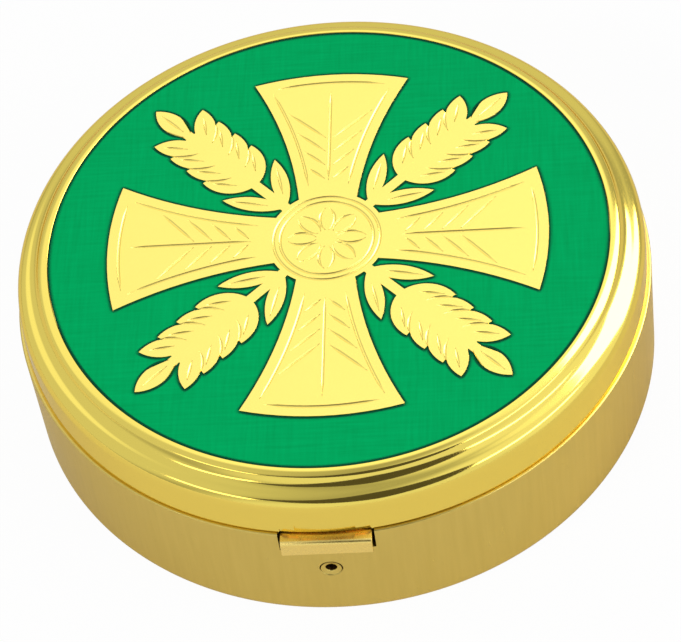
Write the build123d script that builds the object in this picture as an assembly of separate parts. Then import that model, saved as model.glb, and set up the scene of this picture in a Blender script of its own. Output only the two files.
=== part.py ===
from build123d import *
import os
from math import acos, copysign, cos, degrees, radians, sin, sqrt, tan

# Round pyx with a hinged, enamelled lid. Sizes are in millimetres and angles in degrees.
# The origin is the centre of the underside, the catch faces -Y and the hinge is at +Y.

# Case
case_diameter = 54.0
case_height = 16.0
lid_height = 4.8
base_sheet = 0.85
base_corner_radius = 1.3
lid_sheet = 0.4
seam_gap = 0.05

# Moulded border of the lid, from the enamelled field outwards
crown_radius = 2.0
crown_slope = 18.0
bead_radius = 0.5
bead_slope = 62.0
cove_radius = 1.2
ledge_width = 0.24
ledge_slope = 12.0
shoulder_radius = 1.15
skirt_draft = 4.0

# Medallion and enamel
plate_thickness = 0.45
motif_rise = 0.5
enamel_drop = 0.06
medallion_gap = 0.04
inlay_gap = 0.03

# Raised design: a cross with flared arms and four ears of wheat between them
roundel_radius = 5.0
arm_waist = 4.4
arm_end_width = 13.4
arm_end_bow = 0.9
arm_margin = 6.0
stalk_width = 0.9
ear_core_width = 2.2
ear_start = 8.8
ear_margin = 2.0
grain_rows = 4
grain_length = 4.5
grain_width = 1.9
grain_tilt = 36.0
grain_offset = 0.2
leaf_start = 5.0
leaf_length = 5.6
leaf_width = 1.5
leaf_tilt = 33.0

# Inner collar that the lid closes over
collar_sheet = 0.4
collar_rise = 1.2
collar_depth = 2.6
collar_lead = 0.15
collar_end_gap = 0.8
solder_gap = 0.03
lid_fit_gap = 0.15

# Hinge of tube knuckles on one pin
knuckle_radius = 0.9
knuckle_count = 5
knuckle_gap = 0.08
hinge_length = 12.8
hinge_end_gap = 0.2
hinge_side_gap = 0.15
hinge_sweep_gap = 0.3
lid_sweep_gap = 0.35
saddle_land = 0.22
pin_radius = 0.45
pin_end = 0.1
pin_running_gap = 0.05
pin_press_gap = 0.02

# Strike on the lid and notch in the base for the catch
strike_width = 4.9
strike_height = 1.0
strike_depth = 0.3
relief_width = 1.25
relief_height = 0.42
relief_depth = 0.12
notch_depth = 2.1
notch_side_gap = 0.2

# Catch spring, bent from one flat strip
spring_sheet = 0.32
foot_width = 3.2
foot_drop = 1.0
foot_rise = 1.1
foot_gap = 0.14
stem_width = 4.4
jog_radius = 0.8
jog_turn = 30.0
hairpin_radius = 0.45
nose_radius = 0.3
nose_gap = 0.1
latch_gap = 0.06
leg_gap = 0.2
tab_width = 7.4
tab_drop = 0.38
tab_radius = 0.5
tab_fall = 6.0
fold_radius = 0.2
lip_gap = 0.15
lip_rise = 0.3

# Hollow rivet that holds the foot of the spring
rivet_drop = 4.6
shank_radius = 0.7
rivet_bore_radius = 0.46
head_radius = 0.92
head_depth = 0.25
dish_edge = 0.08
dish_depth = 0.16
flange_radius = 1.05
flange_thickness = 0.2
flange_gap = 0.1
rivet_hole_gap = 0.03
foot_hole_gap = 0.12

# Right angle, and a length that takes any cut right through
quarter_turn = 90.0
through = case_diameter

# Heights and radii that follow from the sizes above
case_radius = case_diameter / 2
seam_height = case_height - lid_height
lid_edge = seam_height + seam_gap
recess_floor = case_height - plate_thickness - motif_rise
base_inner_radius = case_radius - base_sheet
collar_radius = base_inner_radius - solder_gap
skirt_slope = tan(radians(skirt_draft))
lid_inner_radius = collar_radius + lid_fit_gap + (collar_rise - seam_gap) * skirt_slope
lid_radius = lid_inner_radius + lid_sheet / cos(radians(skirt_draft))

# Places along the hinge
hinge_y = case_radius - knuckle_radius
hinge_sweep = knuckle_radius + hinge_sweep_gap
saddle_radius = knuckle_radius + solder_gap
knuckle_pitch = (hinge_length + knuckle_gap) / knuckle_count
knuckle_length = knuckle_pitch - knuckle_gap
hinge_notch_width = hinge_length + 2 * hinge_end_gap
base_knuckles = range(0, knuckle_count, 2)
lid_knuckles = range(1, knuckle_count, 2)

# Places of the catch
strike_top = lid_edge + strike_height
notch_floor = seam_height - notch_depth
notch_width = tab_width + 2 * notch_side_gap
rivet_height = seam_height - rivet_drop
front_plane = Plane(origin=(0, 0, 0), x_dir=(0, -1, 0), z_dir=(-1, 0, 0))
rivet_plane = Plane(origin=(0, 0, rivet_height), x_dir=(1, 0, 0), z_dir=(0, -1, 0))


def along(heading):
    """Unit step in a direction."""
    return Vector(cos(radians(heading)), sin(radians(heading)))


class Section:
    """A section in radial distance and height, drawn as straight runs and tangent bends."""

    def __init__(self, radius, height, heading):
        self.point = Vector(radius, height)
        self.heading = heading
        self.steps = []

    def run(self, length):
        self.steps.append((self.point, self.heading, length, 0))
        self.point = self.point + along(self.heading) * length

    def bend(self, radius, turn):
        self.steps.append((self.point, self.heading, radius, turn))
        self.point = JernArc(self.point, along(self.heading), radius, turn) @ 1
        self.heading = self.heading + turn

    def carry_on(self):
        """A new section that starts where this one ends."""
        return Section(self.point.X, self.point.Y, self.heading)

    def edges(self, offset=0.0):
        """The drawn line, moved to the left of its course by an offset."""
        edges = []
        for start, heading, size, turn in self.steps:
            moved = start + along(heading + quarter_turn) * offset
            if turn == 0:
                edges.append(Line(moved, moved + along(heading) * size))
            else:
                edges.append(JernArc(moved, along(heading), size - copysign(1, turn) * offset, turn))
        return edges

    def sheet(self, first_offset, last_offset):
        """Face of sheet metal between two offsets of the drawn line."""
        near = self.edges(first_offset)
        far = self.edges(last_offset)
        ends = [Line(near[0] @ 0, far[0] @ 0), Line(near[-1] @ 1, far[-1] @ 1)]
        return make_face(near + far + ends)


def outline(*points):
    """Face inside a closed outline of straight edges."""
    return make_face(Polyline(*points, close=True))


def turned(face):
    """Solid of revolution, from a section in radial distance and height."""
    return revolve(Plane.XZ * face, Axis.Z)


def chord_distance(radius, width):
    """Distance from the axis of a flat strip whose two edges lie on a circle."""
    return sqrt(radius**2 - (width / 2) ** 2)


def front_block(width, low, high, centre=0.0):
    """Block across the front of the case, between two heights."""
    block = Box(width, through, high - low, align=(Align.CENTER, Align.MAX, Align.MIN))
    return Pos(centre, 0, low) * block


def back_block(width, low, high, centre=0.0):
    """Block across the back of the case, between two heights."""
    block = Box(width, through, high - low, align=(Align.CENTER, Align.MIN, Align.MIN))
    return Pos(centre, 0, low) * block


def hinge_barrel(radius, length, centre=0.0):
    """Cylinder along the hinge axis."""
    return Pos(centre, hinge_y, seam_height) * Rot(0, quarter_turn, 0) * Cylinder(radius, length)


def knuckle_centre(index):
    return (index - (knuckle_count - 1) / 2) * knuckle_pitch


def rivet_cylinder(radius):
    """Cylinder along the rivet, from the middle of the case out through the front wall."""
    return rivet_plane * Cylinder(radius, through, align=(Align.CENTER, Align.CENTER, Align.MIN))


def lid_border(start_radius):
    """Outside of the lid, from the edge of the field to the lower edge of the skirt."""
    border = Section(start_radius, case_height, 0)
    border.bend(crown_radius, -crown_slope)
    border.bend(bead_radius, crown_slope - bead_slope)
    border.bend(cove_radius, bead_slope - ledge_slope)
    border.run(ledge_width)
    border.bend(shoulder_radius, ledge_slope + skirt_draft - quarter_turn)
    border.run((border.point.Y - lid_edge) / cos(radians(skirt_draft)))
    return border


# The border takes its width from its own curves, and the field has what is left
field_radius = lid_radius - lid_border(0).point.X
medallion_radius = field_radius - medallion_gap

# Flat faces of the catch spring, set back from the round walls in front of them
strike_chord = chord_distance(lid_inner_radius - strike_height * skirt_slope, stem_width)
nose_face = strike_chord - nose_gap
strike_face = strike_chord - strike_depth
foot_face = chord_distance(base_inner_radius, foot_width) - foot_gap


def make_base_cup():
    """Drawn cup with the catch notch in front, the rivet's seat and the hinge notches behind."""
    cup = Section(0, 0, 0)
    cup.run(case_radius - base_corner_radius)
    cup.bend(base_corner_radius, quarter_turn)
    cup.run(seam_height - base_corner_radius)
    base = turned(cup.sheet(0, base_sheet))
    base -= front_block(notch_width, notch_floor, case_height)
    base -= rivet_cylinder(shank_radius + rivet_hole_gap)
    base -= rivet_plane * turned(rivet_seat())
    saddle_drop = sqrt(saddle_radius**2 - (knuckle_radius - saddle_land) ** 2)
    base -= back_block(hinge_notch_width, seam_height - saddle_drop, case_height)
    sweep_width = knuckle_length + 2 * hinge_side_gap
    for index in lid_knuckles:
        base -= back_block(sweep_width, seam_height - hinge_sweep, case_height, knuckle_centre(index))
    return base - hinge_barrel(saddle_radius, hinge_notch_width)


def make_inner_collar():
    """Split ring inside the base, open at the catch and lowered at the hinge."""
    low = seam_height - collar_depth
    high = seam_height + collar_rise
    inner = collar_radius - collar_sheet
    collar = turned(
        outline(
            (inner, low),
            (collar_radius, low),
            (collar_radius, high - collar_lead),
            (collar_radius - collar_lead, high),
            (inner, high),
        )
    )
    collar -= front_block(tab_width + 2 * collar_end_gap, 0, case_height)
    return collar - back_block(hinge_notch_width, seam_height - hinge_sweep, case_height)


def make_lid_shell():
    """Pressed lid with a moulded border, a recess on top, the strike and the hinge tongues."""
    border = lid_border(field_radius)
    inner_shoulder, inner_skirt = border.edges(-lid_sheet)[-2:]
    shoulder_start = inner_shoulder @ 0
    ceiling = min(shoulder_start.Y, recess_floor - lid_sheet)
    top = Polyline(
        shoulder_start,
        (field_radius, ceiling),
        (0, ceiling),
        (0, recess_floor),
        (field_radius, recess_floor),
        (field_radius, case_height),
    )
    edge = Line(border.point, inner_skirt @ 1)
    lid = turned(make_face(border.edges() + [edge, inner_skirt, inner_shoulder] + top.edges()))
    return cut_hinge_tongues(press_strike(lid))


def press_strike(lid):
    """Push the skirt's edge in a little over the tab, and swell it further inwards as the catch's strike."""
    strips = [(0, strike_width, strike_height, strike_depth)]
    for side in (-1, 1):
        strips.append((side * (strike_width + relief_width) / 2, relief_width, relief_height, relief_depth))
    for centre, width, height, depth in strips:
        zone = front_block(width, seam_height, lid_edge + height, centre)
        edge = lid & zone
        lid -= zone
        for push in sorted({relief_depth, depth}):
            lid += Pos(0, push, 0) * edge
    return lid


def cut_hinge_tongues(lid):
    """Open the back of the skirt round the hinge, with a tongue down to each lid knuckle."""
    notch = back_block(hinge_notch_width, seam_height, seam_height + knuckle_radius + lid_sweep_gap)
    for index in lid_knuckles:
        notch -= back_block(knuckle_length, 0, case_height, knuckle_centre(index))
    return lid - notch - hinge_barrel(saddle_radius, hinge_notch_width)


def make_knuckle(index, bore_gap):
    """Short tube on the hinge axis."""
    tube = hinge_barrel(knuckle_radius, knuckle_length, knuckle_centre(index))
    return tube - hinge_barrel(pin_radius + bore_gap, hinge_length)


def make_hinge_pin():
    return hinge_barrel(pin_radius, hinge_length + 2 * pin_end)


def rivet_seat():
    """Countersink in the wall under the rivet's flush head, with its gap."""
    face = chord_distance(case_radius, 2 * head_radius)
    return outline(
        (0, face - head_depth),
        (shank_radius + rivet_hole_gap, face - head_depth),
        (head_radius + rivet_hole_gap, face),
        (head_radius + rivet_hole_gap, through),
        (0, through),
    )


def make_catch_rivet():
    """Hollow rivet, dished and flush outside, with a rolled flange behind the spring's foot."""
    face = chord_distance(case_radius, 2 * head_radius)
    flange_face = foot_face - spring_sheet - flange_gap
    flange_back = flange_face - flange_thickness
    section = outline(
        (head_radius, face),
        (shank_radius, face - head_depth),
        (shank_radius, flange_face),
        (flange_radius, flange_face),
        (flange_radius, flange_back),
        (rivet_bore_radius, flange_back),
        (rivet_bore_radius, face - dish_depth),
        (head_radius - dish_edge, face),
    )
    return rivet_plane * turned(section)


def spring_foot():
    """Flat foot of the catch spring, behind the front wall."""
    foot = Section(foot_face - spring_sheet / 2, rivet_height - foot_drop, quarter_turn)
    foot.run(foot_drop + foot_rise)
    return foot


def spring_stem(stem):
    """Stem that steps inwards, folds over as a hairpin and ends in the nose that hooks the strike."""
    hairpin_centre = nose_face - spring_sheet / 2 - hairpin_radius
    jog_shift = stem.point.X - (hairpin_centre - hairpin_radius)
    jog_run = (jog_shift - 2 * jog_radius * (1 - cos(radians(jog_turn)))) / sin(radians(jog_turn))
    stem.bend(jog_radius, jog_turn)
    stem.run(jog_run)
    stem.bend(jog_radius, -jog_turn)
    nose_reach = hairpin_radius + spring_sheet / 2 + latch_gap
    nose_height = strike_top + sqrt(nose_reach**2 - (strike_face - hairpin_centre) ** 2)
    stem.run(nose_height - stem.point.Y)
    leg = strike_face - leg_gap - spring_sheet / 2
    nose_shift = hairpin_centre + hairpin_radius - leg
    nose_turn = degrees(acos(1 - nose_shift / (hairpin_radius + nose_radius)))
    stem.bend(hairpin_radius, -2 * quarter_turn - nose_turn)
    stem.bend(nose_radius, nose_turn)
    return stem


def spring_tab(tab):
    """Wide leg behind the strike, and a thumb tab that comes out under the lid and folds down as a lip."""
    fall = radians(tab_fall)
    lip = case_radius + lip_gap + spring_sheet / 2
    tab.run(tab.point.Y - (lid_edge - tab_drop + tab_radius))
    tab.bend(tab_radius, quarter_turn - tab_fall)
    tab.run((lip - fold_radius * (1 - sin(fall)) - tab.point.X) / cos(fall))
    tab.bend(fold_radius, tab_fall - quarter_turn)
    tab.run(tab.point.Y - (notch_floor + lip_rise))
    return tab


def make_catch_spring():
    """Foot, stem and tab bent from one strip that widens towards the tab."""
    foot = spring_foot()
    stem = spring_stem(foot.carry_on())
    tab = spring_tab(stem.carry_on())
    spring = Part()
    for section, width in ((foot, foot_width), (stem, stem_width), (tab, tab_width)):
        strip = front_plane * section.sheet(-spring_sheet / 2, spring_sheet / 2)
        spring += extrude(strip, amount=width / 2, both=True)
    return spring - rivet_cylinder(shank_radius + foot_hole_gap)


def pointed_oval(length, width, margin):
    """Leaf or grain shape that stands on the origin and points along +Y, grown by a margin."""
    root = (0, -2 * margin)
    tip = (0, length + 2 * margin)
    half_width = width / 2 + margin
    right = ThreePointArc(root, (half_width, length / 2), tip)
    left = ThreePointArc(tip, (-half_width, length / 2), root)
    return make_face([right, left])


def cross_arm(margin):
    """Flared arm along +Y with hollow sides and a bowed end, grown by a margin."""
    waist = arm_waist / 2 + margin
    end = arm_end_width / 2 + margin
    reach = field_radius - arm_margin + margin
    right = TangentArc((waist, 0), (end, reach), tangent=(0, 1))
    bow = ThreePointArc((end, reach), (0, reach + arm_end_bow), (-end, reach))
    left = TangentArc((-waist, 0), (-end, reach), tangent=(0, 1))
    return make_face([right, bow, left, Line((-waist, 0), (waist, 0))])


def wheat_ear(margin):
    """Ear of wheat along +Y as a list of faces: stalk, two leaves and rows of grains, grown by a margin."""
    top = field_radius - ear_margin - grain_length
    stalk = Rectangle(stalk_width + 2 * margin, top + grain_length / 2, align=(Align.CENTER, Align.MIN))
    core_length = top - ear_start - grain_width
    core = Rectangle(ear_core_width + 2 * margin, core_length, align=(Align.CENTER, Align.MAX))
    faces = [stalk, Pos(0, top) * core, Pos(0, top) * pointed_oval(grain_length, grain_width, margin)]
    pitch = (top - ear_start) / grain_rows
    for side in (-1, 1):
        leaf = Rot(0, 0, side * leaf_tilt) * pointed_oval(leaf_length, leaf_width, margin)
        faces.append(Pos(0, leaf_start) * leaf)
        grain = Rot(0, 0, -side * grain_tilt) * pointed_oval(grain_length, grain_width, margin)
        for row in range(grain_rows):
            faces.append(Pos(side * grain_offset, ear_start + row * pitch) * grain)
    return faces


def motif(margin):
    """The raised design as one face, grown by a margin."""
    faces = [Circle(roundel_radius + margin)]
    for quarter in range(4):
        turn = Rot(0, 0, quarter * quarter_turn)
        half_turn = Rot(0, 0, (quarter + 1 / 2) * quarter_turn)
        faces.append(turn * cross_arm(margin))
        faces += [half_turn * face for face in wheat_ear(margin)]
    return Sketch() + faces


def make_medallion_plate():
    """Struck plate with the raised design level with the lid's rim."""
    plate = extrude(Circle(medallion_radius), amount=plate_thickness)
    relief = extrude(Pos(0, 0, plate_thickness) * motif(0), amount=motif_rise)
    return Pos(0, 0, recess_floor) * (plate + relief)


def make_enamel_field():
    """Enamel round the raised design, a little below its top."""
    field = Circle(medallion_radius) - motif(inlay_gap)
    return Pos(0, 0, recess_floor + plate_thickness) * extrude(field, amount=motif_rise - enamel_drop)


def make_parts():
    """Every piece of the pyx, by name."""
    parts = {
        "base_cup": make_base_cup(),
        "inner_collar": make_inner_collar(),
        "catch_spring": make_catch_spring(),
        "catch_rivet": make_catch_rivet(),
        "lid_shell": make_lid_shell(),
        "medallion_plate": make_medallion_plate(),
        "enamel_field": make_enamel_field(),
        "hinge_pin": make_hinge_pin(),
    }
    for number, index in enumerate(base_knuckles, start=1):
        parts[f"base_knuckle_{number}"] = make_knuckle(index, pin_press_gap)
    for number, index in enumerate(lid_knuckles, start=1):
        parts[f"lid_knuckle_{number}"] = make_knuckle(index, pin_running_gap)
    return parts


os.makedirs("parts", exist_ok=True)
for name, solid in make_parts().items():
    export_step(solid, f"parts/{name}.step")
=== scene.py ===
import bpy
import bmesh
from itertools import product
from math import asin, atan2, ceil, cos, degrees, pi, radians, sin, sqrt
from mathutils import Matrix, Quaternion, Vector


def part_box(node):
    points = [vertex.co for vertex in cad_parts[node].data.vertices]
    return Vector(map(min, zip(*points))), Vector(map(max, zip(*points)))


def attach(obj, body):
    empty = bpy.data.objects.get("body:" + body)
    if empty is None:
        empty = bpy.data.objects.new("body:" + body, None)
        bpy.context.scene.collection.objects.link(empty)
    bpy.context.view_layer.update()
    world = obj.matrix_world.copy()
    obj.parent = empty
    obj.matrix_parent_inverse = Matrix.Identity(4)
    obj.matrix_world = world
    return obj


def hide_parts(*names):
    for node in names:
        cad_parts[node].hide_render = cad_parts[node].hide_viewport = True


# A round gold-plated pyx with an enamelled lid, on a white studio table.
# Sizes are in millimetres and angles in degrees. Meshes are made in metres.

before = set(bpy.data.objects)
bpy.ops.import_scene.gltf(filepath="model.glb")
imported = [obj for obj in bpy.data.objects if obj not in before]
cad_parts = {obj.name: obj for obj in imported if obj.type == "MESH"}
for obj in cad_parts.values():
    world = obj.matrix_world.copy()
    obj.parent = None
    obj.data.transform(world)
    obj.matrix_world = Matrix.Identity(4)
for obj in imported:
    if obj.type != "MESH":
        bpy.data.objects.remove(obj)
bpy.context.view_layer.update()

MM = 0.001


def drawn(node, axis, end):
    """Where a drawn piece starts (end 0) or stops (end 1) along an axis, to a micrometre."""
    return round(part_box(node)[end]["xyz".index(axis)] / MM, 3)


def drawn_span(node, axis):
    """How far a drawn piece reaches along an axis."""
    return drawn(node, axis, 1) - drawn(node, axis, 0)


def drawn_middle(node, axis):
    """Middle of a drawn piece along an axis."""
    return (drawn(node, axis, 0) + drawn(node, axis, 1)) / 2


# Case
CASE_RADIUS = drawn("base_cup", "x", 1)
CASE_HEIGHT = drawn("lid_shell", "z", 1)
SEAM_HEIGHT = drawn("base_cup", "z", 1)
BASE_SHEET = 0.85
BASE_CORNER = 1.3
BASE_EDGE_ROUND = 0.14

# Lid, from the enamelled field outwards
MEDALLION_GAP = 0.04
FIELD_RADIUS = drawn("medallion_plate", "x", 1) + MEDALLION_GAP
RECESS_FLOOR = drawn("medallion_plate", "z", 0)
RIM_EDGE_ROUND = 0.06
CROWN_RADIUS = 2.0
CROWN_SLOPE = 18.0
BEAD_RADIUS = 0.5
BEAD_SLOPE = 62.0
COVE_RADIUS = 1.2
LEDGE_WIDTH = 0.24
LEDGE_SLOPE = 12.0
SHOULDER_RADIUS = 1.15
SKIRT_DRAFT = 4.0
LID_SHEET = 0.4
SEAM_GAP = 0.05
LID_EDGE = SEAM_HEIGHT + SEAM_GAP
LID_EDGE_ROUND = 0.1

# Strike on the lid's edge, with a shallow strip on each side of it
STRIKE_WIDTH = 4.9
STRIKE_HEIGHT = 1.0
STRIKE_DEPTH = 0.3
STRIP_WIDTH = 1.25
STRIP_HEIGHT = 0.42
STRIP_DEPTH = 0.12

# Hinge at the back
HINGE_Y = drawn_middle("hinge_pin", "y")
PIN_RADIUS = drawn_span("hinge_pin", "z") / 2
PIN_LENGTH = drawn_span("hinge_pin", "x")
PIN_PRESS_GAP = 0.02
PIN_RUNNING_GAP = 0.05
BASE_KNUCKLES = (0, 2, 4)
LID_KNUCKLES = (1, 3)
MIDDLE_KNUCKLE = 2
KNUCKLE_RADIUS = drawn_span("base_knuckle_1", "z") / 2
KNUCKLE_LENGTH = drawn_span("base_knuckle_1", "x")
KNUCKLE_PITCH = drawn("lid_knuckle_1", "x", 0) - drawn("base_knuckle_1", "x", 0)
HINGE_END_GAP = 0.2
HINGE_NOTCH_WIDTH = 2 * (drawn("base_knuckle_3", "x", 1) + HINGE_END_GAP)
HINGE_EDGE_ROUND = 0.08
SADDLE_GAP = 0.03
SADDLE_RADIUS = KNUCKLE_RADIUS + SADDLE_GAP
SADDLE_LAND = 0.22
BASE_SWEEP_GAP = 0.3
LID_SWEEP_GAP = 0.35
SIDE_GAP = 0.15

# Hollow rivet, with its head as radius and drop below the face
RIVET_HEIGHT = drawn_middle("catch_rivet", "z")
RIVET_FACE = -drawn("catch_rivet", "y", 0)
RIVET_HEAD_DEPTH = 0.25
EASED_RIM = ((0.89, 0.05), (0.88, 0.02), (0.85, 0.0), (0.82, 0.0))
SHALLOW_DISH = ((0.79, 0.015), (0.58, 0.06))
ROUND_BORE_EDGE = ((0.5, 0.09), (0.46, 0.14))
RIVET_BORE = 0.46
SHANK_RADIUS = 0.7
FLANGE_BACK = -drawn("catch_rivet", "y", 1)
FLANGE_RADIUS = drawn("catch_rivet", "x", 1)
FLANGE_SHEET = 0.2
FLANGE_ROUND = 0.05
RIVET_SEAT = 0.98
RIVET_HOLE_GAP = 0.03

# Painted shade on the rivet, in dark dull brass: inside its bore, and in the joint round its head
SHADED_BORE = 0.475
SHADED_JOINT = 0.85

# Catch spring, from its foot under the rivet to its lip
SPRING_SHEET = 0.32
SPRING_EDGE_ROUND = 0.07
FOOT_WIDTH = 3.2
FOOT_HOLE_GAP = 0.12
FOOT_BOTTOM = drawn("catch_spring", "z", 0)
FOOT_LENGTH = 2.1
FOOT_FROM_AXIS = 25.801
STEM_WIDTH = 4.4
STEM_TOP = 12.78
JOG_RADIUS = 0.8
JOG_TURN = 30.0
JOG_RUN = 1.117
HAIRPIN_RADIUS = 0.45
NOSE_RADIUS = 0.3
NOSE_TURN = 62.18
LEG_BOTTOM = 11.37
TAB_WIDTH = drawn_span("catch_spring", "x")
TAB_RADIUS = 0.5
TAB_FALL = 6.0
FOLD_RADIUS = 0.2
LIP_RADIUS = -drawn("catch_spring", "y", 0) - SPRING_SHEET / 2
LIP_BOTTOM = 9.4
NOTCH_SIDE_GAP = 0.2
NOTCH_DEPTH = 2.1

# Raised design: a cross with flared arms and four ears of wheat
ARM_WAIST = 4.4
ARM_END_WIDTH = 13.4
ARM_REACH = 17.7
ARM_BOW = 0.9
EAR_START = 8.8
EAR_TOP = 17.2
GRAIN_ROWS = 4
GRAIN_LENGTH = 4.5
GRAIN_WIDTH = 1.9
GRAIN_TILT = 36.0
GRAIN_OFFSET = 0.2
LEAF_START = 5.0
LEAF_LENGTH = 5.6
LEAF_TILT = 33.0
RELIEF_EDGE_ROUND = 0.05

# Engraving on the raised design, with parts of a grain's or petal's edge as shares of its length
GRAVER_WIDTH = 0.26
GRAVER_DEPTH = 0.13
GRAVER_TAPER = 1.2
GRAVER_START = 0.2
ENGRAVING_STEP = 0.3
BORDER_INSET = 0.95
BORDER_START = 5.9
BORDER_GAP = 0.15
SPINE = (6.4, 16.6)
VEIN_COUNT = 6
VEIN_FOOT = (0.32, 6.6)
VEIN_PITCH = 1.55
VEIN_SLANT = 42.0
VEIN_SHORTEST = 0.5
VEIN_STEP = 0.05
VEIN_SIDE_GAP = 0.4
VEIN_END_GAP = 0.1
GRAIN_FURROW = (1.5, 3.6)
GRAIN_EDGE = (0.12, 0.62)
TIP_FURROW = (0.9, 3.7)
TIP_EDGE = (0.1, 0.5)
LEAF_RIB_START = 1.6
LEAF_RIB_END_GAP = 0.9
PETAL_COUNT = 8
PETAL_START = 0.75
PETAL_LENGTH = 2.7
PETAL_WIDTH = 1.25
PETAL_EDGE = (0.06, 0.94)
ROUNDEL_RINGS = (3.95, 4.5)

# Spacing of the marks on each surface, all drawn coarser than the real ones so that they show
HAZE_SPACING = 1.1
BRUSH_SPACING = 0.19
BRUSH_BAND = 0.55
BRUSH_STRETCH = 0.06
STRIKING_GRAIN = 1.4
TUMBLING_DENT = 0.25
TARNISH_PATCH = 0.3
STONING_SPACING = 0.28
STONING_STRETCH = 0.06
STONING_PATCH = 11.0
# Width of the painted shade along the enamel's edges by the metal
ENAMEL_EDGE_SHADE = 0.6

# Cards that only mirror-like surfaces see: level, and corners as azimuth from the front and elevation
CARDS = {
    "camera_hood": (
        0.09,
        ((-35, 46), (-10, 34), (11, 21), (33, 26), (47, 39), (45, 54), (30, 67), (11, 71), (-10, 60)),
    ),
    "left_diffuser": (2.6, ((-57, 34), (-29, 34), (-29, 42), (-57, 42))),
    "right_diffuser": (5.0, ((42, 34), (86, 34), (86, 42), (42, 42))),
    "side_panel": (
        7.0,
        ((104, 18), (136, 22), (146, 40), (152, 51), (158, 56), (157, 61), (150, 62), (122, 60), (104, 56)),
    ),
}
CARD_DISTANCE = 500.0

# Lamps that only matt surfaces see: direction, width and height, and watts
LAMPS = {
    "left_lamp": ((-0.537, -0.576, 0.616), (360.0, 140.0), 2.8),
    "right_lamp": ((0.708, -0.345, 0.616), (550.0, 140.0), 2.0),
}
LAMP_DISTANCE = 900.0

# Tent that the gold mirrors, and its paler places: direction, cosines between which they fade in, and level
TENT_LEVEL = 0.48
TENT_WINDOWS = (
    ((-0.8, 0.1, 0.6), 0.6, 0.85, 0.78),  # left wall
    ((0.8, -0.1, 0.6), 0.6, 0.85, 1.05),  # right wall
    ((-0.09, 0.95, 0.3), 0.8, 0.93, 0.75),  # low behind
    ((-0.0915, 0.6125, 0.785), 0.9, 0.97, 1.36),  # high behind, in the flat tops of the design
    ((0.312, 0.446, 0.839), 0.94, 0.985, 1.25),  # high behind, to the right
    ((-0.412, 0.527, 0.743), 0.95, 0.985, 1.15),  # high behind, to the left
    ((0.148, -0.989, 0.0), 0.5, 0.85, 0.92),  # low in front, under the camera
)
TENT_COLOUR = (0.92, 1.0, 1.1, 1.0)

# Even light on matt surfaces, and the table with the share of plain white that the camera sees in it
MATT_LIGHT = 0.53
WHITE = (1.0, 1.0, 1.0, 1.0)
TABLE_REACH = 4000.0
TABLE_GLOW = 0.96

# Camera
CAMERA_AZIMUTH = 8.5
CAMERA_ELEVATION = 51.74
CAMERA_DISTANCE = 271.21
CAMERA_TILT = 0.626
CAMERA_ROLL = -9.39
CAMERA_SENSOR = 36.0
CAMERA_LENS = 163.12

# How finely round shapes are drawn, and the points that keep a straight run flat
TURN_SEGMENTS = 288
RIVET_SEGMENTS = 96
SMALL_SEGMENTS = 64
BEND_STEP = 9.0
CORNER_POINTS = 3
HOLD = 0.03

# Limits that tell edges and faces apart
SMOOTH_LIMIT = 30.0
SPRING_SMOOTH_LIMIT = 40.0
RIVET_SMOOTH_LIMIT = 50.0
SHARP_EDGE = 60.0
FLAT_LIMIT = 0.2
LEVEL_NORMAL = 0.9999
WELD_DISTANCE = 0.001
TOP_SLACK = 0.01

# Reach of the cutting tools, from well inside the case to outside it and from under the lid to above it
TOOL_INSIDE = 5.0
TOOL_OUTSIDE = 40.0
TOOL_UNDER = 5.0
TOOL_ABOVE = 20.0
WALL_TOOL_START = 20.0


def linear(hex_colour):
    """Linear colour from an sRGB hex colour."""
    channels = [int(hex_colour[i : i + 2], 16) / 255 for i in (1, 3, 5)]
    return [c / 12.92 if c <= 0.04045 else ((c + 0.055) / 1.055) ** 2.4 for c in channels] + [1.0]


def per_metre(spacing):
    """Scale of a pattern whose marks lie a spacing apart."""
    return 1 / (spacing * MM)


def add_node(tree, kind, settings=None, links=None):
    """Add a node, set its properties and inputs, and link its inputs to other nodes' outputs."""
    node = tree.nodes.new(kind)
    for name, value in (settings or {}).items():
        if isinstance(name, int) or name in node.inputs:
            node.inputs[name].default_value = value
        else:
            setattr(node, name, value)
    for name, output in (links or {}).items():
        tree.links.new(output, node.inputs[name])
    return node


def new_material(name):
    """Empty material, with its node tree."""
    material = bpy.data.materials.new(name)
    material.use_nodes = True
    material.node_tree.nodes.clear()
    return material, material.node_tree


class Course:
    """A line in radius and height, drawn as straight runs and tangent bends."""

    def __init__(self, radius, height, heading):
        self.points = [Vector((radius, height))]
        self.headings = [heading]
        self.heading = heading

    def add(self, point):
        self.points.append(point)
        self.headings.append(self.heading)

    def run(self, length):
        """Straight stretch, with a point held near each end so that its shading stays flat."""
        step = Vector((cos(radians(self.heading)), sin(radians(self.heading))))
        start = self.points[-1]
        for distance in sorted({min(HOLD, length / 3), max(length - HOLD, 2 * length / 3), length}):
            self.add(start + step * distance)

    def bend(self, radius, turn):
        """Round stretch that turns left by a positive angle and right by a negative one."""
        side = 1 if turn > 0 else -1
        start_angle = radians(self.heading - side * 90)
        centre = self.points[-1] - Vector((cos(start_angle), sin(start_angle))) * radius
        count = max(2, ceil(abs(turn) / BEND_STEP))
        first = self.heading
        for i in range(1, count + 1):
            self.heading = first + turn * i / count
            angle = radians(self.heading - side * 90)
            self.add(centre + Vector((cos(angle), sin(angle))) * radius)


def placed_object(name, mesh):
    """Object that shows a mesh in the scene."""
    thing = bpy.data.objects.new(name, mesh)
    bpy.context.scene.collection.objects.link(thing)
    return thing


def new_object(name, vertices, faces):
    """Object with a mesh from vertices in millimetres."""
    mesh = bpy.data.meshes.new(name)
    mesh.from_pydata([Vector(v) * MM for v in vertices], [], faces)
    return placed_object(name, mesh)


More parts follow.
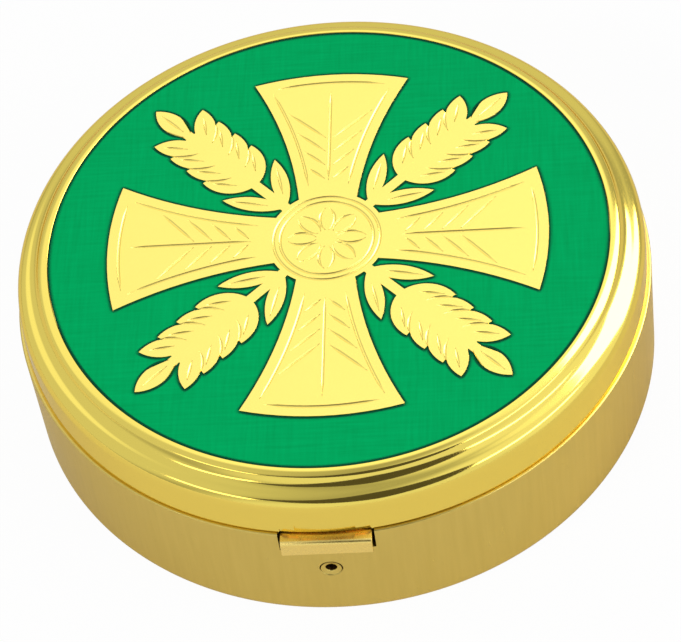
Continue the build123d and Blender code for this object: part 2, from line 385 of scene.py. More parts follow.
def lathe(name, section, closed=False, segments=SMALL_SEGMENTS):
    """Solid turned round the Z axis. A section starts and ends on the axis, or is a closed loop."""
    rings = section if closed else section[1:-1]
    count = len(rings)
    vertices = []
    for i in range(segments):
        # Half a step off the axes, so that no point lies in the middle plane
        angle = 2 * pi * (i + 0.5) / segments
        vertices += [(r * cos(angle), r * sin(angle), z) for r, z in rings]
    faces = []
    for i in range(segments):
        here, there = i * count, (i + 1) % segments * count
        for j in range(count if closed else count - 1):
            k = (j + 1) % count
            faces.append((here + j, there + j, there + k, here + k))
        if not closed:
            faces.append((there, here, len(vertices)))
            faces.append((here + count - 1, there + count - 1, len(vertices) + 1))
    if not closed:
        vertices += [(0, 0, section[0][1]), (0, 0, section[-1][1])]
    return new_object(name, vertices, faces)


def block(low, high):
    """Box between two corners, as a tool for cutting."""
    faces = [(0, 1, 3, 2), (4, 6, 7, 5), (0, 4, 5, 1), (2, 3, 7, 6), (0, 2, 6, 4), (1, 5, 7, 3)]
    return new_object("tool", list(product(*zip(low, high))), faces)


def along_hinge(thing):
    """Lay a piece turned round Z on the hinge axis."""
    place = Matrix.Translation((0, HINGE_Y * MM, SEAM_HEIGHT * MM))
    thing.data.transform(place @ Matrix.Rotation(pi / 2, 4, "Y"))
    return thing


def along_rivet(thing):
    """Lay a piece turned round Z on the rivet's axis, with +Z to the front."""
    place = Matrix.Translation((0, 0, RIVET_HEIGHT * MM))
    thing.data.transform(place @ Matrix.Rotation(pi / 2, 4, "X"))
    return thing


def combine(thing, tools, operation="DIFFERENCE", crossing=False):
    """Cut tools out of a mesh, or join them to it, and take the tools away. A tool may cross itself."""
    for tool in tools:
        modifier = thing.modifiers.new("combine", "BOOLEAN")
        modifier.object = tool
        modifier.operation = operation
        modifier.solver = "EXACT"
        modifier.use_self = crossing
    shaped = bpy.data.meshes.new_from_object(thing.evaluated_get(bpy.context.evaluated_depsgraph_get()))
    thing.modifiers.clear()
    thing.data = shaped
    for tool in tools:
        bpy.data.objects.remove(tool)


def shade(thing, angle=SMOOTH_LIMIT):
    """Smooth shading that breaks at edges sharper than an angle and keeps level faces flat."""
    thing.data.set_sharp_from_angle(angle=radians(angle))
    for polygon in thing.data.polygons:
        polygon.use_smooth = abs(polygon.normal.z) < LEVEL_NORMAL


def dress(thing, material, body, node):
    """Give a piece its material and its body, and hide the drawn piece that it stands for."""
    thing.data.materials.append(material)
    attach(thing, body)
    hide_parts(node)


def knuckle_centre(index):
    return (index - MIDDLE_KNUCKLE) * KNUCKLE_PITCH


def hinge_saddle():
    """Round tool along the hinge that leaves a seat for the knuckles."""
    half = HINGE_NOTCH_WIDTH / 2
    return along_hinge(lathe("tool", [(0, -half), (SADDLE_RADIUS, -half), (SADDLE_RADIUS, half), (0, half)]))


def rivet_seat():
    """Tool for the rivet's hole in the wall, which opens out towards the front for its head."""
    radius = SHANK_RADIUS + RIVET_HOLE_GAP
    hole = [(0, WALL_TOOL_START), (radius, WALL_TOOL_START), (radius, RIVET_FACE - RIVET_HEAD_DEPTH)]
    seat = [(RIVET_SEAT, RIVET_FACE), (RIVET_SEAT, TOOL_OUTSIDE), (0, TOOL_OUTSIDE)]
    return along_rivet(lathe("tool", hole + seat))


def base_cup_mesh():
    """Drawn cup with eased edges, cut for the catch, the rivet and the hinge."""
    wall = SEAM_HEIGHT - BASE_CORNER - BASE_EDGE_ROUND
    section = Course(0, 0, 0)
    section.run(CASE_RADIUS - BASE_CORNER)
    section.bend(BASE_CORNER, 90)
    section.run(wall)
    section.bend(BASE_EDGE_ROUND, 90)
    section.run(BASE_SHEET - 2 * BASE_EDGE_ROUND)
    section.bend(BASE_EDGE_ROUND, 90)
    section.run(wall)
    section.bend(BASE_CORNER - BASE_SHEET, -90)
    section.run(CASE_RADIUS - BASE_CORNER)
    cup = lathe("base_cup_turned", section.points, segments=TURN_SEGMENTS)

    half = TAB_WIDTH / 2 + NOTCH_SIDE_GAP
    notch_floor = SEAM_HEIGHT - NOTCH_DEPTH
    tools = [block((-half, -TOOL_OUTSIDE, notch_floor), (half, -TOOL_INSIDE, TOOL_ABOVE)), rivet_seat()]
    half = HINGE_NOTCH_WIDTH / 2
    saddle_drop = sqrt(SADDLE_RADIUS**2 - (KNUCKLE_RADIUS - SADDLE_LAND) ** 2)
    tools.append(block((-half, TOOL_INSIDE, SEAM_HEIGHT - saddle_drop), (half, TOOL_OUTSIDE, TOOL_ABOVE)))
    half = KNUCKLE_LENGTH / 2 + SIDE_GAP
    for index in LID_KNUCKLES:
        centre = knuckle_centre(index)
        low = (centre - half, TOOL_INSIDE, SEAM_HEIGHT - KNUCKLE_RADIUS - BASE_SWEEP_GAP)
        tools.append(block(low, (centre + half, TOOL_OUTSIDE, TOOL_ABOVE)))
    tools.append(hinge_saddle())
    combine(cup, tools)
    shade(cup)
    return cup


def lid_section():
    """Section of the lid from the axis over the recess, the border and the skirt, and back inside."""
    lid = Course(0, RECESS_FLOOR, 0)
    lid.run(FIELD_RADIUS)
    lid.heading = 90
    crown = CROWN_RADIUS - RIM_EDGE_ROUND
    eased = asin(RIM_EDGE_ROUND / crown)
    lid.run(CASE_HEIGHT - CROWN_RADIUS + crown * cos(eased) - RECESS_FLOOR)
    lid.bend(RIM_EDGE_ROUND, -90 - degrees(eased))
    lid.bend(CROWN_RADIUS, degrees(eased) - CROWN_SLOPE)
    lid.bend(BEAD_RADIUS, CROWN_SLOPE - BEAD_SLOPE)
    lid.bend(COVE_RADIUS, BEAD_SLOPE - LEDGE_SLOPE)
    lid.run(LEDGE_WIDTH)
    lid.bend(SHOULDER_RADIUS, LEDGE_SLOPE + SKIRT_DRAFT - 90)
    skirt = (lid.points[-1].y - LID_EDGE) / cos(radians(SKIRT_DRAFT))
    lid.run(skirt - LID_EDGE_ROUND)
    lid.bend(LID_EDGE_ROUND, -90)
    lid.run(LID_SHEET - 2 * LID_EDGE_ROUND)
    lid.bend(LID_EDGE_ROUND, -90)
    lid.run(skirt - LID_EDGE_ROUND)
    lid.bend(SHOULDER_RADIUS - LID_SHEET, 90 - LEDGE_SLOPE - SKIRT_DRAFT)
    lid.heading = 180
    lid.run(lid.points[-1].x)
    return lid.points


def pressed_edge(lid):
    """Pieces of the lid's edge over the catch, pushed inwards, and the tools that cut away the old ones."""
    presses = [(0, STRIKE_WIDTH, STRIKE_HEIGHT, STRIKE_DEPTH)]
    for side in (-1, 1):
        presses.append((side * (STRIKE_WIDTH + STRIP_WIDTH) / 2, STRIP_WIDTH, STRIP_HEIGHT, STRIP_DEPTH))
    pushed, tools = [], []
    for centre, width, height, depth in presses:
        low = (centre - width / 2, -TOOL_OUTSIDE, TOOL_UNDER)
        high = (centre + width / 2, -TOOL_INSIDE, LID_EDGE + height)
        for push in sorted({STRIP_DEPTH, depth}):
            piece = placed_object("pressed_piece", lid.data.copy())
            combine(piece, [block(low, high)], "INTERSECT")
            piece.data.transform(Matrix.Translation((0, push * MM, 0)))
            pushed.append(piece)
        tools.append(block(low, high))
    return pushed, tools


def lid_shell_mesh():
    """Pressed lid with its edge pushed in over the catch, and its hinge tongues."""
    lid = lathe("lid_turned", lid_section(), segments=TURN_SEGMENTS)
    pushed, tools = pressed_edge(lid)
    edges = [-HINGE_NOTCH_WIDTH / 2]
    for index in LID_KNUCKLES:
        edges += [knuckle_centre(index) - KNUCKLE_LENGTH / 2, knuckle_centre(index) + KNUCKLE_LENGTH / 2]
    edges.append(HINGE_NOTCH_WIDTH / 2)
    sweep_top = SEAM_HEIGHT + KNUCKLE_RADIUS + LID_SWEEP_GAP
    for left, right in zip(edges[::2], edges[1::2]):
        tools.append(block((left, TOOL_INSIDE, TOOL_UNDER), (right, TOOL_OUTSIDE, sweep_top)))
    tools.append(hinge_saddle())
    combine(lid, tools)
    combine(lid, pushed, "UNION")
    shade(lid)
    return lid


def knuckle_mesh(name, index, bore):
    """Short length of tube with eased ends."""
    tube = Course(bore, -KNUCKLE_LENGTH / 2, 0)
    tube.run(KNUCKLE_RADIUS - bore - HINGE_EDGE_ROUND)
    tube.bend(HINGE_EDGE_ROUND, 90)
    tube.run(KNUCKLE_LENGTH - 2 * HINGE_EDGE_ROUND)
    tube.bend(HINGE_EDGE_ROUND, 90)
    tube.run(KNUCKLE_RADIUS - bore - HINGE_EDGE_ROUND)
    knuckle = along_hinge(lathe(name, tube.points, closed=True))
    knuckle.data.transform(Matrix.Translation((knuckle_centre(index) * MM, 0, 0)))
    shade(knuckle)
    return knuckle


def hinge_pin_mesh():
    """Pin with softly eased ends."""
    section = Course(0, -PIN_LENGTH / 2, 0)
    section.run(PIN_RADIUS - HINGE_EDGE_ROUND)
    section.bend(HINGE_EDGE_ROUND, 90)
    section.run(PIN_LENGTH - 2 * HINGE_EDGE_ROUND)
    section.bend(HINGE_EDGE_ROUND, 90)
    section.run(PIN_RADIUS - HINGE_EDGE_ROUND)
    pin = along_hinge(lathe("hinge_pin_turned", section.points))
    shade(pin)
    return pin


def spring_course():
    """Middle line of the catch spring from its foot to its lip, with its width at each point."""
    spring = Course(FOOT_FROM_AXIS, FOOT_BOTTOM, 90)
    spring.run(FOOT_LENGTH)
    foot_points = len(spring.points)
    spring.bend(JOG_RADIUS, JOG_TURN)
    spring.run(JOG_RUN)
    spring.bend(JOG_RADIUS, -JOG_TURN)
    spring.run(STEM_TOP - spring.points[-1].y)
    spring.bend(HAIRPIN_RADIUS, -180 - NOSE_TURN)
    spring.bend(NOSE_RADIUS, NOSE_TURN)
    stem_points = len(spring.points) - foot_points
    spring.run(spring.points[-1].y - LEG_BOTTOM)
    spring.bend(TAB_RADIUS, 90 - TAB_FALL)
    fall = radians(TAB_FALL)
    spring.run((LIP_RADIUS - FOLD_RADIUS * (1 - sin(fall)) - spring.points[-1].x) / cos(fall))
    spring.bend(FOLD_RADIUS, TAB_FALL - 90)
    spring.run(spring.points[-1].y - LIP_BOTTOM)
    tab_points = len(spring.points) - foot_points - stem_points
    widths = [FOOT_WIDTH] * foot_points + [STEM_WIDTH] * stem_points + [TAB_WIDTH] * tab_points
    return spring, widths


def spring_mesh():
    """Catch spring bent from one strip with eased edges."""
    spring, widths = spring_course()
    half_sheet = SPRING_SHEET / 2 - SPRING_EDGE_ROUND
    vertices = []
    for point, heading, width in zip(spring.points, spring.headings, widths):
        across = Vector((-sin(radians(heading)), cos(radians(heading))))
        half_width = width / 2 - SPRING_EDGE_ROUND
        for corner, (side, face) in enumerate(((1, 1), (-1, 1), (-1, -1), (1, -1))):
            for step in range(CORNER_POINTS):
                angle = radians(90 * (corner + step / (CORNER_POINTS - 1)))
                place = point + across * (face * half_sheet + SPRING_EDGE_ROUND * sin(angle))
                vertices.append((side * half_width + SPRING_EDGE_ROUND * cos(angle), -place.x, place.y))
    ring = 4 * CORNER_POINTS
    faces = [tuple(range(ring)), tuple(range(len(vertices) - ring, len(vertices)))[::-1]]
    for i in range(len(spring.points) - 1):
        for j in range(ring):
            k = (j + 1) % ring
            faces.append((i * ring + j, (i + 1) * ring + j, (i + 1) * ring + k, i * ring + k))
    strip = new_object("catch_spring_bent", vertices, faces)
    radius = SHANK_RADIUS + FOOT_HOLE_GAP
    hole = [(0, WALL_TOOL_START), (radius, WALL_TOOL_START), (radius, TOOL_OUTSIDE), (0, TOOL_OUTSIDE)]
    combine(strip, [along_rivet(lathe("tool", hole))])
    shade(strip, SPRING_SMOOTH_LIMIT)
    return strip


def rivet_mesh():
    """Hollow rivet with a dished head, eased edges and a rolled flange inside."""
    flange_edge = FLANGE_RADIUS - FLANGE_ROUND
    flange_front = FLANGE_BACK + FLANGE_SHEET
    section = [(RIVET_BORE, FLANGE_BACK), (flange_edge, FLANGE_BACK)]
    section += [(FLANGE_RADIUS, FLANGE_BACK + FLANGE_ROUND), (FLANGE_RADIUS, flange_front - FLANGE_ROUND)]
    section += [(flange_edge, flange_front), (SHANK_RADIUS, flange_front)]
    section.append((SHANK_RADIUS, RIVET_FACE - RIVET_HEAD_DEPTH))
    section += [(radius, RIVET_FACE - drop) for radius, drop in EASED_RIM + SHALLOW_DISH + ROUND_BORE_EDGE]
    rivet = along_rivet(lathe("catch_rivet_turned", section, closed=True, segments=RIVET_SEGMENTS))
    shade(rivet, RIVET_SMOOTH_LIMIT)
    # Faces in the bore and in the joint round the head take the second material, which is painted shade
    for polygon in rivet.data.polygons:
        centre = polygon.center / MM
        from_axis = Vector((centre.x, centre.z - RIVET_HEIGHT)).length
        in_joint = from_axis > SHADED_JOINT and -centre.y > RIVET_FACE - RIVET_HEAD_DEPTH
        polygon.material_index = 1 if from_axis < SHADED_BORE or in_joint else 0
    return rivet


def arc_points(centre, radius, first, last):
    """Points along an arc, from a first to a last angle."""
    count = max(3, ceil(abs(radians(last - first)) * radius / ENGRAVING_STEP))
    angles = [radians(first + (last - first) * i / count) for i in range(count + 1)]
    return [Vector((centre[0] + radius * cos(a), centre[1] + radius * sin(a))) for a in angles]


def straight_points(start, end):
    """Points along a straight line."""
    start, end = Vector(start), Vector(end)
    count = max(3, ceil((end - start).length / ENGRAVING_STEP))
    return [start.lerp(end, i / count) for i in range(count + 1)]


def upright_points(first, last):
    """Points along +Y."""
    return straight_points((0, first), (0, last))


def oval_side(length, width, side, first, last):
    """Part of one side of a pointed oval that stands on the origin along +Y."""
    radius = (length**2 + width**2) / (4 * width)
    centre = (-side * (radius - width / 2), length / 2)
    reach = degrees(atan2(length / 2, radius - width / 2))
    angles = [reach * (2 * share - 1) for share in (first, last)]
    if side < 0:
        angles = [180 - angle for angle in angles]
    return arc_points(centre, radius, *angles)


def moved(points, turn, place=(0, 0)):
    """Points turned round the origin and then moved."""
    c, s = cos(radians(turn)), sin(radians(turn))
    return [Vector((c * p[0] - s * p[1] + place[0], s * p[0] + c * p[1] + place[1])) for p in points]


def mirrored(points):
    """Points on the other side of the Y axis."""
    return [Vector((-p.x, p.y)) for p in points]


def arm_lines():
    """Engraving on the cross arm along +Y: an inset border, a spine and slanting veins."""
    flare = ARM_END_WIDTH - ARM_WAIST
    side_radius = (ARM_REACH**2 + (flare / 2) ** 2) / flare
    side_x = ARM_WAIST / 2 + side_radius
    end_radius = ((ARM_END_WIDTH / 2) ** 2 + ARM_BOW**2) / (2 * ARM_BOW)
    border_radius = side_radius + BORDER_INSET

    def border_x(y):
        return side_x - sqrt(border_radius**2 - y**2)

    border_top = ARM_REACH - BORDER_INSET - BORDER_GAP
    first, last = (180 - degrees(atan2(y, side_x - border_x(y))) for y in (BORDER_START, border_top))
    side = arc_points((side_x, 0), border_radius, first, last)
    half = degrees(atan2(border_x(border_top) - BORDER_GAP, end_radius))
    end_y = ARM_REACH + ARM_BOW - end_radius
    end = arc_points((0, end_y), end_radius - BORDER_INSET, 90 - half, 90 + half)
    lines = [side, mirrored(side), end, upright_points(*SPINE)]
    course = Vector((cos(radians(VEIN_SLANT)), sin(radians(VEIN_SLANT))))
    for k in range(VEIN_COUNT):
        start = Vector((VEIN_FOOT[0], VEIN_FOOT[1] + k * VEIN_PITCH))
        length = VEIN_SHORTEST
        while start.x + length * course.x < border_x(start.y + length * course.y) - VEIN_SIDE_GAP:
            length += VEIN_STEP
        stop = start + course * length
        if stop.y < border_top - VEIN_END_GAP:
            vein = straight_points(start, stop)
            lines += [vein, mirrored(vein)]
    return lines


def ear_lines():
    """Engraving on the ear of wheat along +Y: edges and furrows of the grains, and ribs of the leaves."""
    lines = [moved(upright_points(*TIP_FURROW), 0, (0, EAR_TOP))]
    pitch = (EAR_TOP - EAR_START) / GRAIN_ROWS
    for side in (-1, 1):
        for row in range(GRAIN_ROWS):
            place = (side * GRAIN_OFFSET, EAR_START + row * pitch)
            lines.append(moved(upright_points(*GRAIN_FURROW), -side * GRAIN_TILT, place))
            if row > 0:
                edge = oval_side(GRAIN_LENGTH, GRAIN_WIDTH, side, *GRAIN_EDGE)
                lines.append(moved(edge, -side * GRAIN_TILT, place))
        edge = oval_side(GRAIN_LENGTH, GRAIN_WIDTH, side, *TIP_EDGE)
        lines.append(moved(edge, 0, (0, EAR_TOP)))
        rib = upright_points(LEAF_RIB_START, LEAF_LENGTH - LEAF_RIB_END_GAP)
        lines.append(moved(rib, side * LEAF_TILT, (0, LEAF_START)))
    return lines


def roundel_lines():
    """Engraving on the roundel: a rosette of petals."""
    lines = []
    for k in range(PETAL_COUNT):
        for side in (-1, 1):
            edge = moved(oval_side(PETAL_LENGTH, PETAL_WIDTH, side, *PETAL_EDGE), 0, (0, PETAL_START))
            lines.append(moved(edge, k * 360 / PETAL_COUNT))
    return lines


def groove(points, closed=False):
    """Tool for one engraved line: a V that swells from its ends, as a graver cuts it."""
    total = sum((b - a).length for a, b in zip(points, points[1:]))
    taper = min(GRAVER_TAPER, total / 3)
    vertices, faces = [], []
    travelled = 0.0
    count = len(points)
    for i, point in enumerate(points):
        before = points[(i - 1) % count] if closed else points[max(i - 1, 0)]
        after = points[(i + 1) % count] if closed else points[min(i + 1, count - 1)]
        course = (after - before).normalized()
        if i > 0:
            travelled += (point - points[i - 1]).length
        swell = 1.0 if closed else max(GRAVER_START, min(1.0, travelled / taper, (total - travelled) / taper))
        across = Vector((-course.y, course.x)) * GRAVER_WIDTH * swell
        # Three corners at each point: both sides of the V above the surface, and its bottom below it
        for place, height in ((point + across, 1), (point - across, 1), (point, -1)):
            vertices.append((place.x, place.y, CASE_HEIGHT + height * GRAVER_DEPTH * swell))
    for i in range(count if closed else count - 1):
        here, there = 3 * i, 3 * ((i + 1) % count)
        for j in range(3):
            k = (j + 1) % 3
            faces.append((here + j, here + k, there + k, there + j))
    if not closed:
        faces += [(2, 1, 0), (3 * count - 3, 3 * count - 2, 3 * count - 1)]
    return vertices, faces


def engraving():
    """All the engraved lines as one cutting tool."""
    lines = roundel_lines()
    for quarter in range(4):
        lines += [moved(line, 90 * quarter) for line in arm_lines()]
        lines += [moved(line, 90 * quarter + 45) for line in ear_lines()]
    cuts = [groove(line) for line in lines]
    for radius in ROUNDEL_RINGS:
        cuts.append(groove(arc_points((0, 0), radius, 0, 360)[:-1], closed=True))
    vertices, faces = [], []
    for cut_vertices, cut_faces in cuts:
        faces += [[len(vertices) + v for v in face] for face in cut_faces]
        vertices += cut_vertices
    return new_object("tool", vertices, faces)


def relief_mesh():
    """Struck plate: the drawn relief, its flat faces made whole, with eased edges and engraved lines."""
    shape = bmesh.new()
    shape.from_mesh(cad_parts["medallion_plate"].data)
    bmesh.ops.remove_doubles(shape, verts=shape.verts, dist=WELD_DISTANCE * MM)
    bmesh.ops.dissolve_limit(shape, angle_limit=radians(FLAT_LIMIT), verts=shape.verts, edges=shape.edges)
    top = (CASE_HEIGHT - TOP_SLACK) * MM
    edges = [e for e in shape.edges if all(v.co.z > top for v in e.verts)]
    rim = [e for e in edges if e.calc_face_angle(0) > radians(SHARP_EDGE)]
    eased = {"offset": RELIEF_EDGE_ROUND * MM, "segments": 2, "profile": 0.5, "clamp_overlap": True}
    bmesh.ops.bevel(shape, geom=rim, affect="EDGES", **eased)
    mesh = bpy.data.meshes.new("medallion_relief")
    shape.to_mesh(mesh)
    shape.free()
    relief = placed_object("medallion_relief", mesh)
    combine(relief, [engraving()], crossing=True)
    shade(relief)
    return relief


def gold_buffed_to_a_mirror():
    """Gold plate over brass, buffed on a wheel: clean reflections with the faintest polishing haze."""
    material, tree = new_material("gold_plate_buffed_on_a_wheel")
    place = add_node(tree, "ShaderNodeTexCoord")
    marks = {"Scale": per_metre(HAZE_SPACING), "Detail": 3.0}
    haze = add_node(tree, "ShaderNodeTexNoise", marks, {"Vector": place.outputs["Object"]})
    settings = {"To Min": 0.07, "To Max": 0.13}
    rough = add_node(tree, "ShaderNodeMapRange", settings, {"Value": haze.outputs["Fac"]})
    finish = {"Base Color": linear("#F8DA64"), "Specular Tint": linear("#FCF2D6"), "Metallic": 1.0}
    shader = add_node(tree, "ShaderNodeBsdfPrincipled", finish, {"Roughness": rough.outputs[0]})
    add_node(tree, "ShaderNodeOutputMaterial", links={"Surface": shader.outputs[0]})
    return material


def gold_brushed_to_satin():
    """Gold plate over a brushed wall: soft reflections drawn out by fine upright lines."""
    material, tree = new_material("gold_plate_brushed_to_satin")
    place = add_node(tree, "ShaderNodeTexCoord")
    parts = add_node(tree, "ShaderNodeSeparateXYZ", links={0: place.outputs["Object"]})
    links = {0: parts.outputs["Y"], 1: parts.outputs["X"]}
    angle = add_node(tree, "ShaderNodeMath", {"operation": "ARCTAN2"}, links)
    settings = {"operation": "MULTIPLY", 1: CASE_RADIUS * MM}
    around = add_node(tree, "ShaderNodeMath", settings, {0: angle.outputs[0]})
    settings = {"operation": "MULTIPLY", 1: BRUSH_STRETCH}
    upright = add_node(tree, "ShaderNodeMath", settings, {0: parts.outputs["Z"]})
    links = {"X": around.outputs[0], "Y": upright.outputs[0]}
    strokes = add_node(tree, "ShaderNodeCombineXYZ", links=links)

    marks = {"Scale": per_metre(BRUSH_SPACING), "Detail": 4.0}
    lines = add_node(tree, "ShaderNodeTexNoise", marks, {"Vector": strokes.outputs[0]})
    settings = {"To Min": 0.24, "To Max": 0.36}
    rough = add_node(tree, "ShaderNodeMapRange", settings, {"Value": lines.outputs["Fac"]})
    settings = {"Strength": 0.12, "Distance": 0.02 * MM}
    bump = add_node(tree, "ShaderNodeBump", settings, {"Height": lines.outputs["Fac"]})
    marks = {"Scale": per_metre(BRUSH_BAND), "Detail": 3.0}
    bands = add_node(tree, "ShaderNodeTexNoise", marks, {"Vector": strokes.outputs[0]})
    settings = {"From Min": 0.3, "From Max": 0.7}
    share = add_node(tree, "ShaderNodeMapRange", settings, {"Value": bands.outputs["Fac"]})
    colours = {"data_type": "RGBA", 6: linear("#DABE63"), 7: linear("#DFC368")}
    colour = add_node(tree, "ShaderNodeMix", colours, {0: share.outputs[0]})

    finish = {"Specular Tint": linear("#F9F0D9"), "Metallic": 1.0}
    links = {"Base Color": colour.outputs[2], "Roughness": rough.outputs[0], "Normal": bump.outputs[0]}
    shader = add_node(tree, "ShaderNodeBsdfPrincipled", finish, links)
    add_node(tree, "ShaderNodeOutputMaterial", links={"Surface": shader.outputs[0]})
    return material


def gold_struck_in_a_die():
    """Gold plate over a die-struck relief: a pale, slightly uneven sheen on the flat tops."""
    material, tree = new_material("gold_plate_struck_in_a_die")
    place = add_node(tree, "ShaderNodeTexCoord")
    marks = {"Scale": per_metre(STRIKING_GRAIN), "Detail": 4.0}
    grain = add_node(tree, "ShaderNodeTexNoise", marks, {"Vector": place.outputs["Object"]})
    settings = {"To Min": 0.18, "To Max": 0.28}
    rough = add_node(tree, "ShaderNodeMapRange", settings, {"Value": grain.outputs["Fac"]})
    finish = {"Base Color": linear("#F8DA6D"), "Specular Tint": linear("#FCF2D6"), "Metallic": 1.0}
    shader = add_node(tree, "ShaderNodeBsdfPrincipled", finish, {"Roughness": rough.outputs[0]})
    add_node(tree, "ShaderNodeOutputMaterial", links={"Surface": shader.outputs[0]})
    return material


def gold_tumbled_bright():
    """Gold flash over spring brass that was tumbled: paler than the buffed lid, softened by tiny dents."""
    material, tree = new_material("gold_flash_tumbled_bright")
    place = add_node(tree, "ShaderNodeTexCoord")
    marks = {"Scale": per_metre(TUMBLING_DENT), "Detail": 2.0}
    dents = add_node(tree, "ShaderNodeTexNoise", marks, {"Vector": place.outputs["Object"]})
    settings = {"To Min": 0.25, "To Max": 0.31}
    rough = add_node(tree, "ShaderNodeMapRange", settings, {"Value": dents.outputs["Fac"]})
    settings = {"Strength": 0.006, "Distance": 0.01 * MM}
    bump = add_node(tree, "ShaderNodeBump", settings, {"Height": dents.outputs["Fac"]})
    finish = {"Base Color": linear("#F9D97B"), "Metallic": 1.0}
    links = {"Roughness": rough.outputs[0], "Normal": bump.outputs[0]}
    shader = add_node(tree, "ShaderNodeBsdfPrincipled", finish, links)
    add_node(tree, "ShaderNodeOutputMaterial", links={"Surface": shader.outputs[0]})
    return material


def brass_painted_dark_as_shade():
    """Dark, dull brass in the rivet's bore and in the joint round its head: painted shade in those hollows,
    mottled in tarnished patches.
    """
    material, tree = new_material("brass_with_painted_shade_in_a_bore")
    place = add_node(tree, "ShaderNodeTexCoord")
    marks = {"Scale": per_metre(TARNISH_PATCH), "Detail": 3.0}
    tarnish = add_node(tree, "ShaderNodeTexNoise", marks, {"Vector": place.outputs["Object"]})
    colours = {"data_type": "RGBA", 6: linear("#3C280F"), 7: linear("#583C19")}
    colour = add_node(tree, "ShaderNodeMix", colours, {0: tarnish.outputs["Fac"]})
    settings = {"To Min": 0.5, "To Max": 0.7}
    rough = add_node(tree, "ShaderNodeMapRange", settings, {"Value": tarnish.outputs["Fac"]})
    links = {"Base Color": colour.outputs[2], "Roughness": rough.outputs[0]}
    shader = add_node(tree, "ShaderNodeBsdfPrincipled", {"Metallic": 1.0}, links)
    add_node(tree, "ShaderNodeOutputMaterial", links={"Surface": shader.outputs[0]})
    return material


def enamel_stoned_flat():
    """Green enamel stoned flat: an even colour with little shine, a faint crossed grain, and painted shade in
    dark green along its edges by the metal.
    """
    material, tree = new_material("green_enamel_stoned_flat")
    place = add_node(tree, "ShaderNodeTexCoord")
    marks = {"Scale": per_metre(STONING_SPACING), "Detail": 2.0}
    grains = []
    for stretch in ((1.0, STONING_STRETCH, 1.0), (STONING_STRETCH, 1.0, 1.0)):
        across = add_node(tree, "ShaderNodeMapping", {"Scale": stretch}, {"Vector": place.outputs["Object"]})
        grains.append(add_node(tree, "ShaderNodeTexNoise", marks, {"Vector": across.outputs[0]}))
    marks = {"Scale": per_metre(STONING_PATCH)}
    patch = add_node(tree, "ShaderNodeTexNoise", marks, {"Vector": place.outputs["Object"]})
    links = {0: patch.outputs["Fac"], 2: grains[0].outputs["Fac"], 3: grains[1].outputs["Fac"]}
    crossed = add_node(tree, "ShaderNodeMix", {"data_type": "FLOAT"}, links)
    settings = {"From Min": 0.3, "From Max": 0.7}
    spread = add_node(tree, "ShaderNodeMapRange", settings, {"Value": crossed.outputs[0]})
    colours = {"data_type": "RGBA", 6: linear("#00A45A"), 7: linear("#00B466")}
    body = add_node(tree, "ShaderNodeMix", colours, {0: spread.outputs[0]})

    # The normal of a rounded edge leans away from the level face, which marks where the edge is; there the
    # colour turns to a painted shade of dark green
    face = add_node(tree, "ShaderNodeNewGeometry")
    rounded = add_node(tree, "ShaderNodeBevel", {"samples": 8, "Radius": ENAMEL_EDGE_SHADE * MM})
    links = {0: rounded.outputs[0], 1: face.outputs["True Normal"]}
    lean = add_node(tree, "ShaderNodeVectorMath", {"operation": "DOT_PRODUCT"}, links)
    settings = {"From Min": 0.955, "From Max": 0.985, "To Min": 1.0, "To Max": 0.0}
    edge = add_node(tree, "ShaderNodeMapRange", settings, {"Value": lean.outputs["Value"]})
    links = {0: edge.outputs[0], 6: body.outputs[2]}
    # Painted shade: dark green where the edge mask is full
    colour = add_node(tree, "ShaderNodeMix", {"data_type": "RGBA", 7: linear("#0A4A33")}, links)

    finish = {"Roughness": 0.4, "Specular IOR Level": 0.015}
    shader = add_node(tree, "ShaderNodeBsdfPrincipled", finish, {"Base Color": colour.outputs[2]})
    add_node(tree, "ShaderNodeOutputMaterial", links={"Surface": shader.outputs[0]})
    return material


def white_paper_sheet():
    """Matt white paper: almost plain white to the camera with a faint shadow, and lit paper in the gold."""
    material, tree = new_material("white_paper_sheet")
    path = add_node(tree, "ShaderNodeLightPath")
    settings = {"operation": "MULTIPLY", 1: TABLE_GLOW}
    share = add_node(tree, "ShaderNodeMath", settings, {0: path.outputs["Is Camera Ray"]})
    paper = add_node(tree, "ShaderNodeBsdfDiffuse", {"Color": linear("#ECECEC")})
    white = add_node(tree, "ShaderNodeEmission", {"Color": WHITE, "Strength": 1.0})
    links = {0: share.outputs[0], 1: paper.outputs[0], 2: white.outputs[0]}
    mix = add_node(tree, "ShaderNodeMixShader", links=links)
    add_node(tree, "ShaderNodeOutputMaterial", links={"Surface": mix.outputs[0]})
    return material


def add_table():
    """White table that the pyx stands on."""
    signs = ((-1, -1), (1, -1), (1, 1), (-1, 1))
    floor = new_object("table", [(x * TABLE_REACH, y * TABLE_REACH, 0) for x, y in signs], [(0, 1, 2, 3)])
    floor.data.materials.append(white_paper_sheet())


def sky_direction(azimuth, elevation):
    """Direction from the object: azimuth from the front towards the right, elevation from the table."""
    level = cos(radians(elevation))
    return Vector((sin(radians(azimuth)) * level, -cos(radians(azimuth)) * level, sin(radians(elevation))))


def add_card(name, strength, corners):
    """Evenly lit card beside the object that only its mirror-like surfaces see."""
    points = [sky_direction(*corner) * CARD_DISTANCE for corner in corners]
    card = new_object(name, points, [tuple(range(len(points)))])
    material, tree = new_material(name + "_cloth")
    light = add_node(tree, "ShaderNodeEmission", {"Color": WHITE, "Strength": strength})
    add_node(tree, "ShaderNodeOutputMaterial", links={"Surface": light.outputs[0]})
    card.data.materials.append(material)
    card.visible_camera = False
    card.visible_diffuse = False
    card.visible_shadow = False


